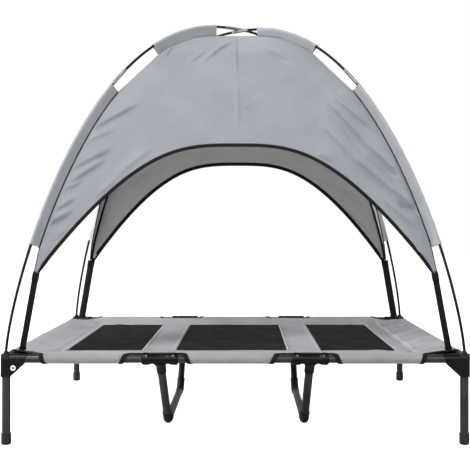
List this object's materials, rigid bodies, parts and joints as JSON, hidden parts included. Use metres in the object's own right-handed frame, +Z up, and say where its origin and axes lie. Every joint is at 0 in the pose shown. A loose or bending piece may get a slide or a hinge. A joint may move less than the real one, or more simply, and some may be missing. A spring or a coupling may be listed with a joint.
{
  "type": "dog bed with frame and canopy",
  "caption": "Raised dog bed with a fabric deck on a tubular steel frame, folding corner legs, angled centre legs and a lift-off sun canopy on crossing poles.",
  "frame": {"origin": "on the floor under the middle of the bed", "axes": "+X along the bed to its right, +Y across it towards the back, +Z up"},
  "size_m": [1.2234, 0.9246, 1.1935],
  "materials": {
    "frame_coat": "black powder coat, satin",
    "black_plastic": "moulded black plastic, fine grain",
    "foot_rubber": "matte black rubber",
    "bright_steel": "zinc plated, bright",
    "deck_fabric": "grey coated oxford weave",
    "mesh_fabric": "dark woven mesh",
    "canopy_fabric": "light grey canopy cloth, slight sheen",
    "strap_webbing": "black webbing",
    "pole_fibreglass": "black fibreglass, semi-gloss"
  },
  "bodies": {
    "frame": {"corner_bracket_front_left": "black_plastic", "corner_bracket_front_right": "black_plastic", "corner_bracket_back_left": "black_plastic", "corner_bracket_back_right": "black_plastic", "leg_rivet_front_left": "bright_steel", "leg_rivet_front_right": "bright_steel", "leg_rivet_back_left": "bright_steel", "leg_rivet_back_right": "bright_steel", "front_rail_left": "frame_coat", "front_rail_centre": "frame_coat", "front_rail_right": "frame_coat", "back_rail_left": "frame_coat", "back_rail_centre": "frame_coat", "back_rail_right": "frame_coat", "side_rail_left": "frame_coat", "side_rail_right": "frame_coat", "tee_connector_front_left": "black_plastic", "tee_connector_front_right": "black_plastic", "tee_connector_back_left": "black_plastic", "tee_connector_back_right": "black_plastic", "centre_leg_tube_left": "frame_coat", "centre_leg_tube_right": "frame_coat", "centre_foot_sleeve_front_left": "foot_rubber", "centre_foot_sleeve_front_right": "foot_rubber", "centre_foot_sleeve_back_left": "foot_rubber", "centre_foot_sleeve_back_right": "foot_rubber", "deck_fabric": "deck_fabric", "mesh_insert_left": "mesh_fabric", "mesh_insert_middle": "mesh_fabric", "mesh_insert_right": "mesh_fabric"},
    "leg_front_left": {"hinge_knuckle_front_left": "black_plastic", "leg_tube_front_left": "frame_coat", "foot_cap_front_left": "foot_rubber"},
    "leg_front_right": {"hinge_knuckle_front_right": "black_plastic", "leg_tube_front_right": "frame_coat", "foot_cap_front_right": "foot_rubber"},
    "leg_back_left": {"hinge_knuckle_back_left": "black_plastic", "leg_tube_back_left": "frame_coat", "foot_cap_back_left": "foot_rubber"},
    "leg_back_right": {"hinge_knuckle_back_right": "black_plastic", "leg_tube_back_right": "frame_coat", "foot_cap_back_right": "foot_rubber"},
    "canopy": {"canopy_pole_upper": "pole_fibreglass", "canopy_pole_lower": "pole_fibreglass", "pole_sleeve_lower_front_left": "canopy_fabric", "pole_sleeve_lower_front_right": "canopy_fabric", "pole_sleeve_lower_back_left": "canopy_fabric", "pole_sleeve_lower_back_right": "canopy_fabric", "pole_sleeve_upper_front_left": "canopy_fabric", "pole_sleeve_upper_front_right": "canopy_fabric", "pole_sleeve_upper_back_left": "canopy_fabric", "pole_sleeve_upper_back_right": "canopy_fabric", "canopy_panel_front": "canopy_fabric", "canopy_panel_back": "canopy_fabric", "canopy_panel_left": "canopy_fabric", "canopy_panel_right": "canopy_fabric", "corner_strap_front_left": "strap_webbing", "corner_strap_front_right": "strap_webbing", "corner_strap_back_left": "strap_webbing", "corner_strap_back_right": "strap_webbing"}
  },
  "joints": [
    {"name": "fold_leg_front_left", "type": "hinge", "parent": "frame", "child": "leg_front_left", "pos_m": [-0.575, -0.447, 0.201], "axis": [0, -1, 0], "range_deg": [0, 90]},
    {"name": "fold_leg_front_right", "type": "hinge", "parent": "frame", "child": "leg_front_right", "pos_m": [0.575, -0.447, 0.201], "axis": [0, 1, 0], "range_deg": [0, 90]},
    {"name": "fold_leg_back_left", "type": "hinge", "parent": "frame", "child": "leg_back_left", "pos_m": [-0.575, 0.447, 0.201], "axis": [0, -1, 0], "range_deg": [0, 90]},
    {"name": "fold_leg_back_right", "type": "hinge", "parent": "frame", "child": "leg_back_right", "pos_m": [0.575, 0.447, 0.201], "axis": [0, 1, 0], "range_deg": [0, 90]},
    {"name": "lift_canopy", "type": "slide", "parent": "frame", "child": "canopy", "axis": [0, 0, 1], "range_m": [0, 0.3]}
  ]
}
